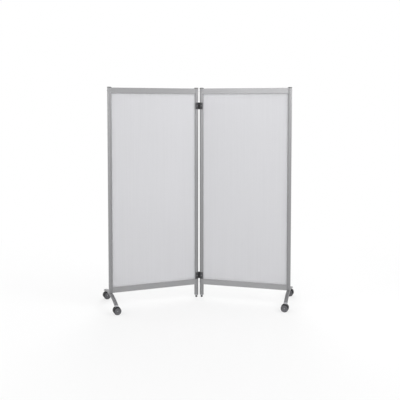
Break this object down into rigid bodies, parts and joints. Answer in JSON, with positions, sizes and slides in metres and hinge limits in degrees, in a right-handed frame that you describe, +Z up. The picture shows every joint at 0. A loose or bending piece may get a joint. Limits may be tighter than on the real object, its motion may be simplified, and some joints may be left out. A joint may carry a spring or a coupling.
{
  "type": "rolling partition",
  "caption": "Two hinged framed panels with translucent sheets, standing on arched feet with twin-wheel casters and on glides under the hinged posts.",
  "frame": {"origin": "middle of the footprint, on the floor", "axes": "+X to the right along the partition, +Y to the back, +Z up"},
  "size_m": [1.5982, 0.451, 1.74],
  "materials": {
    "silver_paint": "satin silver-grey",
    "rail_alloy": "satin anodised",
    "translucent_sheet": "translucent twin-wall sheet",
    "cap_plastic": "moulded grey",
    "hinge_plastic": "moulded dark grey",
    "pale_plastic": "moulded light grey",
    "black_plastic": "moulded black",
    "wheel_plastic": "moulded grey",
    "tyre_rubber": "soft tread",
    "zinc_steel": "zinc plated"
  },
  "bodies": {
    "left_panel": {"left_inner_post": "silver_paint", "left_outer_post": "silver_paint", "left_inner_cap": "cap_plastic", "left_outer_cap": "cap_plastic", "left_inner_plug": "pale_plastic", "left_glide": "black_plastic", "left_foot": "silver_paint", "left_top_rail": "rail_alloy", "left_bottom_rail": "rail_alloy", "left_sheet": "translucent_sheet", "left_front_foot_plug": "pale_plastic", "left_rear_foot_plug": "pale_plastic", "left_upper_hinge_leaf": "hinge_plastic", "left_lower_hinge_leaf": "hinge_plastic", "upper_hinge_pin": "zinc_steel", "lower_hinge_pin": "zinc_steel", "left_front_caster_stem": "zinc_steel", "left_rear_caster_stem": "zinc_steel"},
    "left_front_caster": {"left_front_caster_housing": "black_plastic", "left_front_caster_axle": "zinc_steel"},
    "left_front_caster_wheel_a": {"left_front_caster_wheel_a": "wheel_plastic", "left_front_caster_tyre_a": "tyre_rubber"},
    "left_front_caster_wheel_b": {"left_front_caster_wheel_b": "wheel_plastic", "left_front_caster_tyre_b": "tyre_rubber"},
    "left_rear_caster": {"left_rear_caster_housing": "black_plastic", "left_rear_caster_axle": "zinc_steel"},
    "left_rear_caster_wheel_a": {"left_rear_caster_wheel_a": "wheel_plastic", "left_rear_caster_tyre_a": "tyre_rubber"},
    "left_rear_caster_wheel_b": {"left_rear_caster_wheel_b": "wheel_plastic", "left_rear_caster_tyre_b": "tyre_rubber"},
    "right_panel": {"right_inner_post": "silver_paint", "right_outer_post": "silver_paint", "right_inner_cap": "cap_plastic", "right_outer_cap": "cap_plastic", "right_inner_plug": "pale_plastic", "right_glide": "black_plastic", "right_foot": "silver_paint", "right_top_rail": "rail_alloy", "right_bottom_rail": "rail_alloy", "right_sheet": "translucent_sheet", "right_front_foot_plug": "pale_plastic", "right_rear_foot_plug": "pale_plastic", "right_upper_hinge_leaf": "hinge_plastic", "right_lower_hinge_leaf": "hinge_plastic", "right_front_caster_stem": "zinc_steel", "right_rear_caster_stem": "zinc_steel"},
    "right_front_caster": {"right_front_caster_housing": "black_plastic", "right_front_caster_axle": "zinc_steel"},
    "right_front_caster_wheel_a": {"right_front_caster_wheel_a": "wheel_plastic", "right_front_caster_tyre_a": "tyre_rubber"},
    "right_front_caster_wheel_b": {"right_front_caster_wheel_b": "wheel_plastic", "right_front_caster_tyre_b": "tyre_rubber"},
    "right_rear_caster": {"right_rear_caster_housing": "black_plastic", "right_rear_caster_axle": "zinc_steel"},
    "right_rear_caster_wheel_a": {"right_rear_caster_wheel_a": "wheel_plastic", "right_rear_caster_tyre_a": "tyre_rubber"},
    "right_rear_caster_wheel_b": {"right_rear_caster_wheel_b": "wheel_plastic", "right_rear_caster_tyre_b": "tyre_rubber"}
  },
  "joints": [
    {"name": "panel_fold", "type": "hinge", "parent": "left_panel", "child": "right_panel", "pos_m": [0, 0.21343, 0.887], "axis": [0, 0, 1], "range_deg": [-46, 114]},
    {"name": "left_front_caster_swivel", "type": "hinge", "parent": "left_panel", "child": "left_front_caster", "pos_m": [-0.65195, -0.19712, 0.0513], "axis": [0, 0, 1], "continuous": true},
    {"name": "left_front_caster_wheel_a_spin", "type": "hinge", "parent": "left_front_caster", "child": "left_front_caster_wheel_a", "pos_m": [-0.6443, -0.19478, 0.029], "axis": [-0.2924, 0.9563, 0], "continuous": true},
    {"name": "left_front_caster_wheel_b_spin", "type": "hinge", "parent": "left_front_caster", "child": "left_front_caster_wheel_b", "pos_m": [-0.6443, -0.19478, 0.029], "axis": [-0.2924, 0.9563, 0], "continuous": true},
    {"name": "left_rear_caster_swivel", "type": "hinge", "parent": "left_panel", "child": "left_rear_caster", "pos_m": [-0.77007, 0.18922, 0.0513], "axis": [0, 0, 1], "continuous": true},
    {"name": "left_rear_caster_wheel_a_spin", "type": "hinge", "parent": "left_rear_caster", "child": "left_rear_caster_wheel_a", "pos_m": [-0.76242, 0.19156, 0.029], "axis": [-0.2924, 0.9563, 0], "continuous": true},
    {"name": "left_rear_caster_wheel_b_spin", "type": "hinge", "parent": "left_rear_caster", "child": "left_rear_caster_wheel_b", "pos_m": [-0.76242, 0.19156, 0.029], "axis": [-0.2924, 0.9563, 0], "continuous": true},
    {"name": "right_front_caster_swivel", "type": "hinge", "parent": "right_panel", "child": "right_front_caster", "pos_m": [0.65195, -0.19712, 0.0513], "axis": [0, 0, 1], "continuous": true},
    {"name": "right_front_caster_wheel_a_spin", "type": "hinge", "parent": "right_front_caster", "child": "right_front_caster_wheel_a", "pos_m": [0.6443, -0.19478, 0.029], "axis": [0.2924, 0.9563, 0], "continuous": true},
    {"name": "right_front_caster_wheel_b_spin", "type": "hinge", "parent": "right_front_caster", "child": "right_front_caster_wheel_b", "pos_m": [0.6443, -0.19478, 0.029], "axis": [0.2924, 0.9563, 0], "continuous": true},
    {"name": "right_rear_caster_swivel", "type": "hinge", "parent": "right_panel", "child": "right_rear_caster", "pos_m": [0.77007, 0.18922, 0.0513], "axis": [0, 0, 1], "continuous": true},
    {"name": "right_rear_caster_wheel_a_spin", "type": "hinge", "parent": "right_rear_caster", "child": "right_rear_caster_wheel_a", "pos_m": [0.76242, 0.19156, 0.029], "axis": [0.2924, 0.9563, 0], "continuous": true},
    {"name": "right_rear_caster_wheel_b_spin", "type": "hinge", "parent": "right_rear_caster", "child": "right_rear_caster_wheel_b", "pos_m": [0.76242, 0.19156, 0.029], "axis": [0.2924, 0.9563, 0], "continuous": true}
  ]
}
